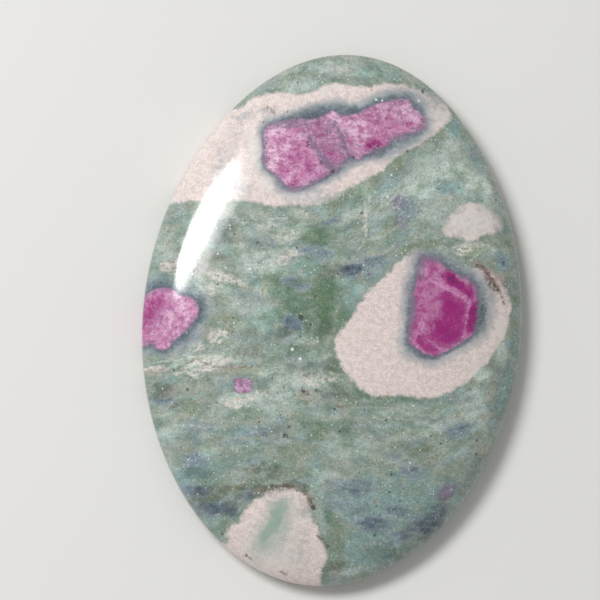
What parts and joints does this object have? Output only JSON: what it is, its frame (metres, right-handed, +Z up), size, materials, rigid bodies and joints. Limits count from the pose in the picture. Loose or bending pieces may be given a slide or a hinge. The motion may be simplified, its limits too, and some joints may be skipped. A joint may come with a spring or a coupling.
{
  "type": "ruby in fuchsite cabochon",
  "caption": "Polished oval cabochon of ruby in fuchsite: green rock with ruby crystals and white patches, ground flush, low dome, flat back.",
  "frame": {"origin": "centre of the flat back, on the surface that the stone rests on", "axes": "+Z up through the dome, +Y along the long axis towards the end with the largest ruby, +X across"},
  "size_m": [0.036, 0.05, 0.0066],
  "materials": {
    "polished_ruby_in_fuchsite": "polished"
  },
  "bodies": {
    "root": {"ruby_in_fuchsite_stone": "polished_ruby_in_fuchsite"}
  },
  "joints": []
}
